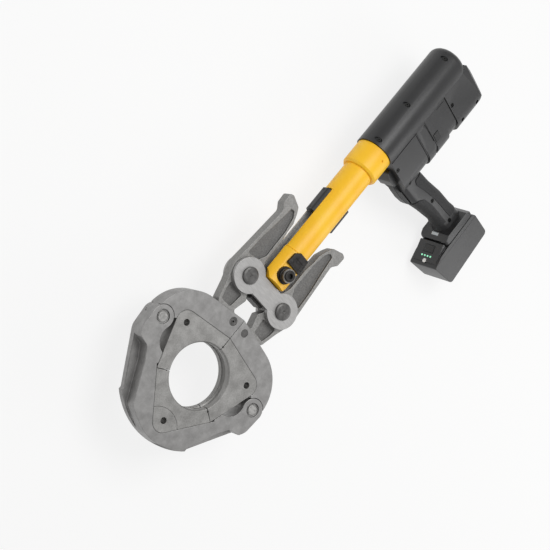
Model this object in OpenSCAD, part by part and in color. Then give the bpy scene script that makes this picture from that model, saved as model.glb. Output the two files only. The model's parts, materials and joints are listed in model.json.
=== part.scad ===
// Battery radial press tool with press tongs and a three part press ring.
// The origin is the centre of the pressing bore, halfway through the ring.
// +X runs from the ring along the tool's axis to the rear of the gun,
// +Z runs along the pipe, toward the side with the locking pin's knob.

/* [Press ring] */
// Bore between the closed press shoes
bore_d = 112; // [106:0.5:116]
// Thickness of the ring along the pipe
ring_t = 36; // [34:0.5:40]
// Depth of the groove that takes the fitting's bead
bead_r = 6; // [3:0.5:8]
// Height of a hinge pin above the bore's axis
hinge_y = 121; // [119:0.5:124]
// Distance of the hinge pins from the bore's axis toward the tongs
hinge_x = 25.3; // [23:0.1:27]
// Radius of the eyes round the hinge pins
eye_r = 20; // [18:0.5:21]
// Thickness of the segment's tongue between the eyes
tongue_t = 18; // [12:0.5:20]
// Diameter of the hinge pins
hinge_pin_d = 16.5; // [12:0.5:18]
// Diameter of the sink round a hinge pin's end
sink_d = 24; // [22:0.5:28]
// Depth of that sink
sink_t = 3; // [2:0.5:5]
// Distance of the nose of a press shoe from the bore's axis
nose_at = 94; // [91:0.5:97]
// Radius of the nose of a press shoe
nose_r = 20; // [17:0.5:22]
// Angle between a shoe's flank and its middle line
flank = 40; // [36:0.5:44]
// Diameter of the hole in a shoe's nose
nose_hole_d = 11; // [6:0.5:14]
// Gap between neighbouring shoes
shoe_gap = 0.8; // [0.4:0.1:2]
// Clearance between a shoe and its seat
shoe_fit = 0.3; // [0.3:0.05:0.6]
// Radius of a segment's outer arc
segment_r = 78; // [75:0.5:82]
// Distance of the ring's tip from the bore's axis
tip_x = 121.5; // [118:0.5:125]
// Gap between the two segments
split_gap = 0.6; // [0.4:0.1:2]
// Outer radius of the link behind the bore
link_r = 130; // [127:0.5:135]
// Thickness of the flange behind the link's recess
flange_t = 12; // [8:0.5:16]
// Distance of the cross pins from the bore's axis
cross_x = 106; // [104:0.5:108]
// Distance between the two cross pins
cross_pitch = 31; // [29:0.5:33]
// Diameter of the upper cross pin
cross_pin_d = 15; // [12:0.5:16]
// Diameter of the lower cross pin
cross_pin_low_d = 13.5; // [12:0.5:16]

/* [Tongs] */
// Distance of the jaw pins from the bore's axis
pivot_x = 181.2; // [179:0.2:183]
// Distance of a jaw pin from the tool's axis
pivot_y = 46; // [45:0.5:48]
// Thickness of a jaw
jaw_t = 20; // [16:0.5:20]
// Radius of a jaw's hub
hub_r = 30; // [28:0.5:30.5]
// Depth of the pockets in a jaw's faces
pocket_t = 4.5; // [2:0.5:6]
// Thickness of a cover plate
plate_t = 8; // [5:0.5:9]
// Radius of a cover plate's discs
plate_r = 31; // [30:0.5:33]
// Diameter of a jaw pin
jaw_pin_d = 18; // [14:0.5:22]
// Diameter of a jaw pin's head
jaw_head_d = 30; // [26:0.5:34]
// Height of a jaw pin's head
jaw_head_t = 4.2; // [3:0.2:7]

/* [Press head] */
// Distance of the fork's tip from the bore's axis
fork_x = 203; // [202:0.5:205]
// Radius of the head round the fork
head_r = 29; // [28.5:0.1:29.5]
// Radius of the head's tube
tube_r = 27.5; // [27:0.1:28]
// Radius of the room for the roller carrier and the piston
cylinder_r = 21; // [20:0.5:22]
// Distance of the end of the slot from the bore's axis
slot_end_x = 400; // [396:1:403]
// Distance of the locking pin from the bore's axis
lock_x = 224; // [223:0.5:226]
// Diameter of the locking pin
lock_d = 18; // [14:0.5:19]
// Radius of the swivel collar
collar_r = 34; // [33:0.5:36]
// Length of the swivel collar
collar_l = 48; // [40:1:56]
// Stroke of the piston
stroke = 42; // [20:1:42]
// Radius of a roller
roller_r = 12; // [9:0.5:12]
// Distance of the rollers at rest from the bore's axis
roller_x = 366; // [362:0.5:368]
// Diameter of the piston rod
rod_d = 18; // [14:0.5:22]
// Height of the slot guards above the tool's axis
guard_h = 31.5; // [30:0.5:34]

/* [Drive housing] */
// Distance of the housing's front face from the bore's axis
body_x = 510; // [508:1:512]
// Radius of the barrel
barrel_r = 36.5; // [35.5:0.5:38]
// Distance of the barrel's rear rim from the bore's axis
barrel_end_x = 742; // [738:1:746]
// Half width of the lower housing
lower_w = 30; // [29:0.5:32]
// Wall of the housing
wall = 3; // [2.5:0.1:3.5]
// Roll of the gun's handle from the ring's plane
roll = 12; // [0:1:20]
// Half width of the handle
handle_w = 17; // [16:0.5:18]
// Thickness of the soft layer on the handle
soft_t = 1.2; // [0.8:0.1:2]
// Radius of the motor
motor_r = 25; // [20:0.5:28]
// Length of the motor
motor_l = 78; // [60:1:84]
// Front face of the gearbox, along the drive's axis.
gear_x = 580; // [570:1:590]
// Front face of the motor, along the drive's axis.
motor_x = 632; // [620:1:645]
// Diameter of the housing screws' heads
screw_d = 7.4; // [5:0.2:7.4]
// Travel of the trigger
trigger_travel = 6; // [3:0.5:8]

/* [Battery] */
// Half width of the battery
battery_w = 33; // [32:0.5:35]
// Wall of the battery case
battery_wall = 2; // [1.5:0.1:2.5]
// Diameter of a cell
cell_d = 18.3; // [16:0.1:18.5]
// Half width of the rail under the handle's foot
rail_w = 21; // [18:0.5:23]
// Number of charge lamps
led_n = 4; // [3:1:5]

/* [Hidden] */
$fn = 72;
eps = 0.01;
run_fit = 0.05;
slide_fit = 0.3;

half_t = ring_t / 2;
bore_r = bore_d / 2;
cross_y = cross_pitch / 2;
jaw_half = jaw_t / 2;
plate_z = jaw_half + slide_fit;
plate_top = plate_z + plate_t;
slot_half = plate_z + 0.45;
claw_fit = 0.6;
piston_fit = 0.08;
collar_x = body_x - collar_l;
tongue_half = tongue_t / 2;
fork_half = tongue_half + slide_fit;
crescent = [hinge_x - 15.3, hinge_y - 44, 26.5];
segment_c = [32, 60];
roller_y = roller_r + slide_fit;
carrier_l = 36;
carrier_x = roller_x - 16;
gland_x = slot_end_x + 3;
gland_t = 8;
piston_t = 12;
piston_x = body_x - 28;
head_end_x = body_x - 11;
spring_x = gland_x + gland_t;
spring_turns = 7;
spring_wire = 2.6;

// Outlines with round corners
// A corner is [x, y, radius], and arcs are worked out from both neighbours.
function unit(v) = v / norm(v);
function turn(a) = a > 180 ? a - 360 : a < -180 ? a + 360 : a;
function corner(a, b, c, n) =
    let (p = [b[0], b[1]], r = b[2])
    let (u = unit([a[0], a[1]] - p), v = unit([c[0], c[1]] - p))
    let (half = acos(u * v) / 2)
    r <= 0 || half > 89 ? [p] :
    let (m = p + unit(u + v) * r / sin(half))
    let (s = p + u * r / tan(half) - m, e = p + v * r / tan(half) - m)
    let (s_a = atan2(s[1], s[0]), sweep = turn(atan2(e[1], e[0]) - s_a))
    [for (i = [0:n]) m + r * [cos(s_a + sweep * i / n), sin(s_a + sweep * i / n)]];
function outline(pts, n = 5) =
    let (k = len(pts))
    [for (i = [0:k - 1]) each corner(pts[(i + k - 1) % k], pts[i], pts[(i + 1) % k], n)];
function reflected(pts) =
    let (k = len(pts))
    [for (i = [0:k - 1]) let (p = pts[k - 1 - i]) [p[0], -p[1], p[2]]];

module slab(z0, z1) {
    translate([0, 0, z0])
        linear_extrude(z1 - z0)
            children();
}

module both_sides() {
    children();
    mirror([0, 1, 0])
        children();
}

// Round bar along X, from x0 to x1
module bar_x(r, x0, x1) {
    translate([x0, 0, 0])
        rotate([0, 90, 0])
            cylinder(r = r, h = x1 - x0);
}

// The drive's own frame: depth below the axis is -Y, the locking pin's side is +Z
module drive_frame() {
    rotate([roll, 0, 0])
        children();
}

// Side view shapes of the drive are drawn as [x, depth] and laid in its frame
function side(pts) = [for (p = pts) [p[0], -p[1], p[2]]];

// Press ring
// A shoe's middle line points along +X here, and its flanks meet beyond the nose.
module shoe_plan(grow = 0, reach = 0) {
    r = nose_r + grow;
    apex_x = nose_at + r / sin(flank);
    // The flank ends where it meets the end face, half a gap short of 60 degrees
    t = (apex_x * tan(60) - shoe_gap) / (sin(flank) + cos(flank) * tan(60)) + reach;
    tip = [apex_x - t * cos(flank), t * sin(flank)];
    polygon(outline([
        [shoe_gap, 0, 0],
        [tip[0], tip[1], 0],
        [apex_x, 0, r],
        [tip[0], -tip[1], 0]
    ], 16));
}

module bore_cut() {
    translate([0, 0, -half_t - 1])
        cylinder(r = bore_r, h = ring_t + 2, $fn = 96);
    rotate_extrude($fn = 96)
        translate([bore_r, 0])
            circle(r = bead_r, $fn = 32);
    for (s = [1, -1])
        translate([0, 0, s * (half_t - 1)])
            rotate_extrude($fn = 96)
                polygon([[bore_r - 1, -s], [bore_r, -s], [bore_r + 2, s], [bore_r - 1, s]]);
}

module shoe_blank() {
    difference() {
        slab(-half_t, half_t)
            shoe_plan();
        bore_cut();
    }
}

module shoe() {
    difference() {
        shoe_blank();
        translate([nose_at, 0, -half_t - 1])
            cylinder(d = nose_hole_d, h = ring_t + 2);
        for (s = [1, -1])
            rotate([0, 0, s * 60])
                translate([bore_r + 7, 0, half_t - 1.5])
                    cylinder(r = 1.6, h = 3, $fn = 24);
    }
}

// The link's shoe carries its nose on a separate saddle, parted along an arc
module saddle_zone(grow) {
    translate([nose_at + 20, 0, -half_t - 2])
        cylinder(r = 39 + grow, h = ring_t + 4);
}

module shoe_upper() {
    color("#8b8b8b")
        rotate([0, 0, 60])
            shoe();
}

module shoe_lower() {
    color("#8b8b8b")
        rotate([0, 0, -60])
            shoe();
}

module shoe_link() {
    color("#8b8b8b")
        rotate([0, 0, 180])
            difference() {
                shoe();
                saddle_zone(shoe_fit);
            }
}

module link_saddle() {
    color("#8f8f8f")
        rotate([0, 0, 180])
            intersection() {
                shoe();
                saddle_zone(0);
            }
}

// Upper segment: outer arc, straight rim to the tip, tongue to the hinge
rim_a = 10;
hinge_a = acos((hinge_x - segment_c[0]) / segment_r);

module segment_outline() {
    arc = [
        for (i = [0:20])
            let (a = rim_a + (hinge_a - rim_a) * i / 20)
            segment_c + segment_r * [cos(a), sin(a)]
    ];
    polygon(concat(
        [[52, split_gap / 2], [tip_x, split_gap / 2]],
        arc,
        [[hinge_x, hinge_y - 4], [40.2, 100.2], [52, 60]]
    ));
}

module segment_blank() {
    difference() {
        union() {
            slab(-half_t, half_t)
                difference() {
                    segment_outline();
                    translate([hinge_x, hinge_y])
                        circle(eye_r + 0.5);
                }
            slab(-tongue_half, tongue_half) {
                segment_outline();
                translate([hinge_x, hinge_y])
                    circle(eye_r - 0.5);
            }
        }
        rotate([0, 0, 60])
            slab(-half_t - 1, half_t + 1)
                shoe_plan(shoe_fit, 8);
    }
}

module segment(pin_d) {
    claw_slot_x = cross_x - 18;
    difference() {
        segment_blank();
        translate([hinge_x, hinge_y, -half_t])
            cylinder(d = hinge_pin_d + 2 * run_fit, h = ring_t);
        translate([cross_x, cross_y, -half_t - 1])
            cylinder(d = pin_d, h = ring_t + 2);
        slab(-slot_half, slot_half)
            polygon(outline([
                [claw_slot_x, -5, 0],
                [tip_x + 5, -5, 0],
                [tip_x + 5, 66, 0],
                [claw_slot_x, 66, 12]
            ]));
    }
}

module segment_upper() {
    color("#969696")
        segment(cross_pin_d);
}

module segment_lower() {
    color("#969696")
        mirror([0, 1, 0])
            segment(cross_pin_low_d);
}

// Ring link: a full flange at the rear, both flanks set back in front of it
link_edge = [
    [hinge_x, hinge_y + eye_r, 0],
    [-11, 137.5, 26],
    [-99, 80, 8],
    [-link_r + 12, 48, 0]
];
link_recess = [
    [-15, 160, 0],
    [-16, 139, 0],
    [-23, 128, 8],
    [-26, 110, 10],
    [-45, 96, 20],
    [-95, 69, 20],
    [-112, 60, 12],
    [-122, 38, 20],
    [-link_r, 14, 0],
    [-link_r - 10, 14, 0],
    [-link_r - 10, 160, 0]
];

module link_plan() {
    difference() {
        union() {
            for (s = [1, -1])
                translate([hinge_x, s * hinge_y])
                    circle(eye_r);
            polygon(outline(concat(
                link_edge,
                reflected(link_edge),
                [[hinge_x, -hinge_y + 5, 0], [-20, 0, 0], [hinge_x, hinge_y - 5, 0]]
            )));
            intersection() {
                circle(link_r, $fn = 144);
                translate([-link_r - 5, -82])
                    square([70, 164]);
            }
        }
        rotate([0, 0, 180])
            shoe_plan(shoe_fit, 8);
        for (s = [1, -1]) {
            rotate([0, 0, s * 60])
                shoe_plan(2 * shoe_fit, 0);
            translate([crescent[0], s * crescent[1]])
                circle(crescent[2]);
        }
        circle(bore_r + 14);
    }
}

module ring_link() {
    color("#969696")
        difference() {
            slab(-half_t, half_t)
                link_plan();
            both_sides() {
                slab(-half_t + flange_t, half_t + 1)
                    polygon(outline(link_recess));
                translate([hinge_x, hinge_y, -half_t - 1]) {
                    cylinder(d = hinge_pin_d, h = ring_t + 2);
                    cylinder(d = sink_d, h = sink_t + 1);
                }
                translate([hinge_x, hinge_y, half_t - sink_t])
                    cylinder(d = sink_d, h = sink_t + 1);
                translate([hinge_x, hinge_y, -fork_half])
                    cylinder(r = eye_r + 0.6, h = 2 * fork_half);
            }
        }
}

// Hinge pin with its head in the rear sink and a groove for the snap ring
module hinge_pin() {
    groove_z = half_t - sink_t + 0.1;
    difference() {
        union() {
            translate([0, 0, -half_t + 0.5])
                cylinder(d = sink_d - 1, h = sink_t - 0.5);
            translate([0, 0, -half_t + sink_t - eps])
                cylinder(d = hinge_pin_d, h = ring_t - sink_t - 0.6);
        }
        translate([0, 0, groove_z])
            difference() {
                cylinder(d = hinge_pin_d + 2, h = 1.5);
                cylinder(d = hinge_pin_d - 2, h = 1.5);
            }
    }
}

module hinge_pin_upper() {
    color("#a0a0a0")
        translate([hinge_x, hinge_y, 0])
            hinge_pin();
}

module hinge_pin_lower() {
    color("#a0a0a0")
        translate([hinge_x, -hinge_y, 0])
            hinge_pin();
}

module snap_ring() {
    ring_r = sink_d / 2 - 1.2;
    translate([0, 0, half_t - sink_t + 0.1])
        linear_extrude(1.4)
            difference() {
                union() {
                    circle(hinge_pin_d / 2 + 1.4);
                    for (a = [28, -28])
                        rotate(a)
                            translate([ring_r - 1.3, 0])
                                circle(1.7, $fn = 24);
                }
                circle(hinge_pin_d / 2 - 1);
                polygon([[0, 0], [20, 7.5], [20, -7.5]]);
                for (a = [28, -28])
                    rotate(a)
                        translate([ring_r - 1.3, 0])
                            circle(0.6, $fn = 16);
            }
}

module snap_rings() {
    color("#b4b4b4")
        for (s = [1, -1])
            translate([hinge_x, s * hinge_y, 0])
                snap_ring();
}

module cross_pin_upper() {
    color("#7c7c7c")
        translate([cross_x, cross_y, 0])
            difference() {
                translate([0, 0, -half_t + 0.3])
                    cylinder(d = cross_pin_d, h = ring_t - 0.6);
                translate([0, 0, half_t - 9])
                    cylinder(r = 1.6, h = 10, $fn = 24);
                translate([0, 0, half_t - 1])
                    difference() {
                        cylinder(r = 5, h = 2);
                        cylinder(r = 4, h = 2);
                    }
            }
}

module cross_pin_lower() {
    color("#6b6b6b")
        translate([cross_x, -cross_y, -half_t + 0.3])
            cylinder(d = cross_pin_low_d, h = ring_t - 0.6);
}

// Press tongs
jaw_edge = [
    [96, 46, 8],
    [118.3, 61.1, 6],
    [147.8, 69.3, 20],
    [180, 81, 24],
    [218.9, 77.7, 40],
    [304.4, 71.5, 10],
    [315.7, 80.4, 6],
    [334.6, 81.6, 5],
    [338.2, 73.5, 4],
    [330.5, 52.2, 8],
    [320.4, 46.4, 10],
    [303.3, 39.4, 12],
    [286.3, 38.5, 12],
    [263.9, 34.9, 16],
    [222, 35, 12],
    [205, 28, 4],
    [181, 26, 0],
    [157, 22.5, 3],
    [149, 16.6, 4],
    [123, 23.7, 4],
    [116.5, 13, 1.5],
    [cross_x, cross_y - 3, 0],
    [99, 7.5, 1],
    [91.5, 8, 2.5],
    [90.5, 26, 8]
];
front_pocket = [
    [150, 31, 3],
    [122.5, 34, 4],
    [121.6, 55.7, 4],
    [140, 61, 6],
    [153, 62, 3]
];
rear_pocket = [
    [209, 72, 3],
    [249, 69.6, 40],
    [281, 65, 40],
    [317.5, 60.8, 3],
    [320, 54.2, 4],
    [311, 47.5, 10],
    [284, 42.2, 20],
    [247, 41.4, 20],
    [229, 41, 8],
    [214, 49, 5]
];

module jaw() {
    difference() {
        union() {
            slab(-jaw_half, jaw_half)
                polygon(outline(jaw_edge));
            translate([pivot_x, pivot_y, -jaw_half])
                cylinder(r = hub_r, h = jaw_t);
        }
        translate([cross_x, cross_y, -jaw_half - 1])
            cylinder(d = cross_pin_d + 2 * claw_fit, h = jaw_t + 2);
        for (s = [1, -1])
            slab(s > 0 ? jaw_half - pocket_t : -jaw_half - 1, s > 0 ? jaw_half + 1 : pocket_t - jaw_half)
                difference() {
                    union() {
                        polygon(outline(front_pocket));
                        polygon(outline(rear_pocket));
                    }
                    translate([pivot_x, pivot_y])
                        circle(hub_r);
                }
        translate([pivot_x, pivot_y, -jaw_half - 1])
            cylinder(d = jaw_pin_d + 2 * run_fit, h = jaw_t + 2);
    }
}

module jaw_left() {
    color("#7b7b7b")
        jaw();
}

module jaw_right() {
    color("#7b7b7b")
        mirror([0, 1, 0])
            jaw();
}

web_x0 = pivot_x - 18.2;
web_x1 = fork_x - 2.5;

module plate_plan() {
    for (s = [1, -1])
        translate([pivot_x, s * pivot_y])
            circle(plate_r);
    translate([web_x0, -pivot_y + 14])
        square([web_x1 - web_x0, 2 * pivot_y - 28]);
}

module cover_plate() {
    difference() {
        slab(plate_z, plate_top)
            plate_plan();
        both_sides()
            translate([pivot_x, pivot_y, plate_z - 1])
                cylinder(d = jaw_pin_d, h = plate_t + 2);
    }
}

module cover_plate_front() {
    color("#bcbcbc")
        cover_plate();
}

module cover_plate_rear() {
    color("#bcbcbc")
        mirror([0, 0, 1])
            cover_plate();
}

// Lug between the cover plates, held in the head's fork by the locking pin
lug_end_r = lock_d / 2 + 5.5;

module tong_lug() {
    color("#2a2a2a")
        difference() {
            slab(-plate_z, plate_z)
                polygon(outline([
                    [web_x0 - 5, -14, 2],
                    [web_x0 - 5, 14, 2],
                    [pivot_x, 17, 0],
                    [fork_x, lug_end_r - 1.5, 0],
                    [lock_x + lug_end_r, lug_end_r, lug_end_r - 2],
                    [lock_x + lug_end_r, -lug_end_r, lug_end_r - 2],
                    [fork_x, -lug_end_r + 1.5, 0],
                    [pivot_x, -17, 0]
                ], 10));
            for (s = [1, -1])
                translate([pivot_x, s * pivot_y, -plate_z - 1])
                    cylinder(r = hub_r + 0.6, h = 2 * plate_z + 2);
            translate([lock_x, 0, -plate_z - 1])
                cylinder(d = lock_d + 2 * run_fit, h = 2 * plate_z + 2);
        }
}

module jaw_pin() {
    color("#3b3b3b")
        difference() {
            union() {
                translate([0, 0, -plate_top])
                    cylinder(d = jaw_pin_d, h = 2 * plate_top);
                for (s = [1, -1])
                    mirror([0, 0, s > 0 ? 0 : 1])
                        translate([0, 0, plate_top])
                            rotate_extrude()
                                polygon(outline([
                                    [0, 0, 0],
                                    [jaw_head_d / 2, 0, 0],
                                    [jaw_head_d / 2, jaw_head_t - 1.2, 1],
                                    [jaw_head_d / 2 - 3.5, jaw_head_t, 3],
                                    [0, jaw_head_t, 0]
                                ], 3));
            }
            translate([0, 0, plate_top + jaw_head_t - 1.5])
                cylinder(r1 = 0.6, r2 = 3, h = 1.6, $fn = 32);
        }
}

module jaw_pin_left() {
    translate([pivot_x, pivot_y, 0])
        jaw_pin();
}

module jaw_pin_right() {
    translate([pivot_x, -pivot_y, 0])
        jaw_pin();
}

// Press head
head_step_x = 268;
seat_z = head_r - 4;

module press_head() {
    color("#fbc02d")
        difference() {
            union() {
                bar_x(head_r, fork_x, head_step_x);
                bar_x(tube_r, head_step_x - 1, head_end_x);
                translate([head_step_x - eps, 0, 0])
                    rotate([0, 90, 0])
                        cylinder(r1 = head_r, r2 = tube_r, h = head_r - tube_r);
            }
            both_sides()
                slab(-head_r - 1, head_r + 1)
                    polygon([
                        [fork_x - 1, head_r - 11.7],
                        [fork_x, head_r - 11],
                        [fork_x + 12, head_r - 3],
                        [fork_x + 12, head_r + 1],
                        [fork_x - 1, head_r + 1]
                    ]);
            translate([fork_x - 1, -head_r - 1, -slot_half])
                cube([slot_end_x - fork_x + 1, 2 * head_r + 2, 2 * slot_half]);
            bar_x(cylinder_r, carrier_x - stroke - 46, head_end_x + 1);
            translate([lock_x, 0, -head_r - 1])
                cylinder(d = lock_d + 2 * run_fit, h = 2 * head_r + 2);
            translate([lock_x, 0, seat_z])
                cylinder(r = 15.3, h = 10);
        }
}

module swivel_collar() {
    lip_x = body_x - 3;
    color("#fbc02d")
        difference() {
            translate([collar_x, 0, 0])
                rotate([0, 90, 0])
                    rotate_extrude($fn = 96)
                        polygon(outline([
                            [tube_r, 0, 0],
                            [collar_r - 3, 0, 1],
                            [collar_r, 4, 2],
                            [collar_r, collar_l, 1],
                            [tube_r + run_fit, collar_l, 0],
                            [tube_r + run_fit, lip_x - collar_x, 0],
                            [collar_r - 2.5, lip_x - collar_x, 0],
                            [collar_r - 2.5, head_end_x - collar_x, 0],
                            [tube_r, head_end_x - collar_x, 0]
                        ], 4));
            translate([collar_x + collar_l - 14, 0, 0])
                rotate([8, 0, 0])
                    translate([0, 0, collar_r - 2])
                        cylinder(r = 1.9, h = 4, $fn = 24);
        }
}

// Flanged spigot of the drive, held in the collar so that the head swivels
module swivel_spigot() {
    color("#9a9a9a")
        difference() {
            union() {
                bar_x(collar_r - 2.8, head_end_x + slide_fit, body_x - 3 - slide_fit);
                bar_x(tube_r, body_x - 4, body_x + 8);
            }
            bar_x(5, head_end_x - 1, body_x + 9);
        }
}

module piston() {
    color("#b8b8b8") {
        bar_x(cylinder_r - piston_fit, piston_x, piston_x + piston_t);
        bar_x(rod_d / 2, carrier_x + carrier_l, piston_x);
    }
}

// Wound return spring between the gland and the piston
module return_spring() {
    mean_r = (cylinder_r + rod_d / 2) / 2 + 0.4;
    len_x = piston_x - spring_x - spring_wire;
    steps = 16;
    sides = 6;
    count = spring_turns * steps;
    function ring_at(i) =
        let (a = 360 * i / steps, x = spring_x + spring_wire / 2 + 0.2 + (len_x - 0.4) * i / count)
        [for (k = [0:sides - 1])
            let (b = 360 * k / sides, r = mean_r + spring_wire / 2 * cos(b))
            [x + spring_wire / 2 * sin(b), r * cos(a), r * sin(a)]];
    points = [for (i = [0:count]) each ring_at(i)];
    walls = [for (i = [0:count - 1], k = [0:sides - 1])
        let (a = i * sides + k, b = i * sides + (k + 1) % sides)
        each [[a, b, b + sides], [a, b + sides, a + sides]]];
    front = [for (k = [1:sides - 2]) [0, k + 1, k]];
    last = count * sides;
    rear = [for (k = [1:sides - 2]) [last, last + k, last + k + 1]];
    color("#8a8a8a")
        polyhedron(points, concat(walls, front, rear));
}

module cylinder_gland() {
    color("#a8a8a8")
        difference() {
            bar_x(cylinder_r, gland_x, gland_x + gland_t);
            bar_x(rod_d / 2 + run_fit, gland_x - 1, gland_x + gland_t + 1);
        }
}

// Carrier: two cheeks beside the rollers, joined behind them to the rod
module roller_carrier() {
    cheek_z = slot_half - 0.6;
    color("#6e6e6e")
        difference() {
            intersection() {
                bar_x(cylinder_r - piston_fit, carrier_x, carrier_x + carrier_l);
                union() {
                    for (s = [1, -1])
                        translate([carrier_x, -cylinder_r, s > 0 ? cheek_z - 2 : -cylinder_r])
                            cube([carrier_l, 2 * cylinder_r, cylinder_r - cheek_z + 2]);
                    translate([roller_x + roller_r + 1, -cylinder_r, -cylinder_r])
                        cube([carrier_l, 2 * cylinder_r, 2 * cylinder_r]);
                }
            }
            for (s = [1, -1])
                translate([roller_x, s * roller_y, -cylinder_r])
                    cylinder(r = 4, h = 2 * cylinder_r);
        }
}

module roller(side) {
    color("#c4c4c4")
        translate([roller_x, side * roller_y, 0])
            difference() {
                translate([0, 0, -slot_half + 2.9])
                    cylinder(r = roller_r, h = 2 * slot_half - 5.8);
                translate([0, 0, -slot_half])
                    cylinder(r = 4 + run_fit, h = 2 * slot_half);
            }
}

module roller_left() {
    roller(1);
}

module roller_right() {
    roller(-1);
}

module roller_pins() {
    color("#8a8a8a")
        for (s = [1, -1])
            translate([roller_x, s * roller_y, -slot_half - 2])
                cylinder(r = 4, h = 2 * slot_half + 4);
}

guard_x = roller_x - 19;
guard_l = 50;

module slot_guard() {
    color("#1e1e1e")
        difference() {
            translate([guard_x, tube_r - 7, 0])
                rotate([90, 0, 90])
                    linear_extrude(guard_l)
                        polygon(outline([
                            [0, -slot_half - 3.5, 0],
                            [guard_h - tube_r + 7, -slot_half + 3, 4],
                            [guard_h - tube_r + 7, slot_half - 3, 4],
                            [0, slot_half + 3.5, 0]
                        ]));
            bar_x(tube_r + 0.05, guard_x - 1, guard_x + guard_l + 1);
            for (x = [guard_x + 5, guard_x + guard_l - 5])
                translate([x, guard_h - 1.4, 0])
                    rotate([-90, 0, 0])
                        cylinder(d = 5, h = 3, $fn = 32);
        }
}

module slot_guard_left() {
    slot_guard();
}

module slot_guard_right() {
    mirror([0, 1, 0])
        slot_guard();
}

module guard_screws() {
    color("#3a3a3a")
        both_sides()
            for (x = [guard_x + 5, guard_x + guard_l - 5])
                translate([x, guard_h - 1.4, 0])
                    rotate([-90, 0, 0])
                        difference() {
                            cylinder(d = 4.8, h = 1.2, $fn = 32);
                            translate([0, 0, 0.5])
                                cylinder(d = 2.4, h = 1, $fn = 6);
                        }
}

module lock_bushing() {
    color("#222222")
        translate([lock_x, 0, 0])
            difference() {
                translate([0, 0, seat_z])
                    cylinder(r = 15, h = 5);
                translate([0, 0, seat_z - 1])
                    cylinder(d = lock_d + 2 * run_fit, h = 8);
            }
}

knob_z = seat_z + 5;

module locking_pin() {
    color("#262626")
        translate([lock_x, 0, 0])
            difference() {
                union() {
                    translate([0, 0, -head_r + 1])
                        cylinder(d = lock_d, h = knob_z + head_r + 2);
                    translate([0, 0, knob_z + slide_fit])
                        rotate_extrude()
                            polygon(outline([
                                [0, 0, 0],
                                [13, 0, 1],
                                [13, 3, 0.8],
                                [11.6, 3.6, 0.5],
                                [11.6, 5, 0.5],
                                [12.6, 5.6, 0.5],
                                [12.6, 8, 0],
                                [9.8, 8, 0],
                                [9.8, 15, 1.5],
                                [0, 15, 0]
                            ], 3));
                }
                translate([0, 0, knob_z + 10])
                    cylinder(d = 10, h = 8, $fn = 6);
            }
}

module lock_ring() {
    color("#b9b9b9")
        translate([lock_x, 0, knob_z + slide_fit + 8])
            difference() {
                cylinder(r = 12.2, h = 3.4);
                translate([0, 0, -1])
                    cylinder(r = 9.8, h = 6);
            }
}

module head_latch() {
    color("#1c1c1c")
        difference() {
            slab(seat_z - 4, head_r + 4)
                polygon(outline([
                    [263.5, 12.5, 3],
                    [270.5, 5, 2],
                    [270.2, -16.9, 3],
                    [241, -18.3, 3],
                    [242, 14.3, 3]
                ]));
            bar_x(head_r + slide_fit, 230, 280);
            slab(head_r + 2.8, head_r + 6)
                polygon(outline([[246, 9, 1], [258, 8, 1], [258, -12, 1], [246, -13, 1]]));
        }
}

// Drive housing
lower_d = 73.5;
band_t = 3.8;
crown_x = barrel_end_x + 20;

// Cross section across the axis, grown or shrunk alike all round
module body_section(grow) {
    circle(barrel_r + grow);
    translate([-lower_d, 0])
        circle(lower_w + grow);
    translate([-lower_d, -lower_w - grow])
        square([lower_d, 2 * lower_w + 2 * grow]);
}

// An extrusion along X whose plan has depth below the axis as its -X
module along_x(x0, x1) {
    translate([x0, 0, 0])
        multmatrix([[0, 0, 1, 0], [1, 0, 0, 0], [0, 1, 0, 0], [0, 0, 0, 1]])
            linear_extrude(x1 - x0)
                children();
}

// The lower housing in side view, [x, depth], with its crowned rear
body_side = [
    [body_x - 6, 0, 0],
    [barrel_end_x + 6, 0, 0],
    [crown_x - 5, 34, 60],
    [crown_x - 8, 86, 24],
    [barrel_end_x - 4, lower_d + lower_w + 7, 12],
    [body_x - 6, lower_d + lower_w + 7, 0]
];

// The lower housing seen from above, [x, side], with round rear corners
body_plan = [
    [body_x - 6, lower_w + 4, 0],
    [barrel_end_x + 4, lower_w + 4, 8],
    [crown_x + 1, 20, 20],
    [crown_x + 1, -20, 20],
    [barrel_end_x + 4, -lower_w - 4, 8],
    [body_x - 6, -lower_w - 4, 0]
];

// Barrel with its rear end turned round
module barrel() {
    rotate([0, 90, 0])
        rotate_extrude()
            polygon(outline([
                [0, body_x + slide_fit, 0],
                [barrel_r, body_x + slide_fit, 0],
                [barrel_r, barrel_end_x + 1, 15],
                [14, barrel_end_x + 8, 20],
                [0, barrel_end_x + 8, 0]
            ]));
}

// Lower section without the barrel, lowered by a band's thickness where one runs round
module lower_section(band) {
    translate([-lower_d - band, 0])
        circle(lower_w + band * 0.2);
    translate([-lower_d - band, -lower_w - band * 0.2])
        square([lower_d + band - 14, 2 * lower_w + band * 0.4]);
}

module body_solid() {
    barrel();
    intersection() {
        union() {
            along_x(body_x + slide_fit + 0.4, crown_x + 2)
                lower_section(0);
            for (b = [[587, 606], [613, 648]])
                along_x(b[0], b[1])
                    lower_section(band_t);
            along_x(676, crown_x + 2)
                lower_section(band_t + 1.4);
        }
        slab(-barrel_r - 4, barrel_r + 4)
            polygon(outline(side(body_side)));
        rotate([90, 0, 0])
            linear_extrude(lower_d + lower_w + 12)
                polygon(outline(body_plan));
    }
}

// Depths below the axis where the battery starts and the handle's foot ends and starts
battery_d0 = 260;
foot_bottom = battery_d0 - 2.5;
foot_top = foot_bottom - 14.5;

// Handle: a loft through sections at growing depth below the axis
// Each section is [depth, front x, rear x, half width].
handle_sections = [
    [88, 511, 564, handle_w],
    [138, 517, 573, handle_w],
    [175, 530, 583, handle_w + 0.6],
    [foot_top - 30, 541, 589, handle_w],
    [foot_top + 3, 538, 598, handle_w + 4]
];

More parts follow.
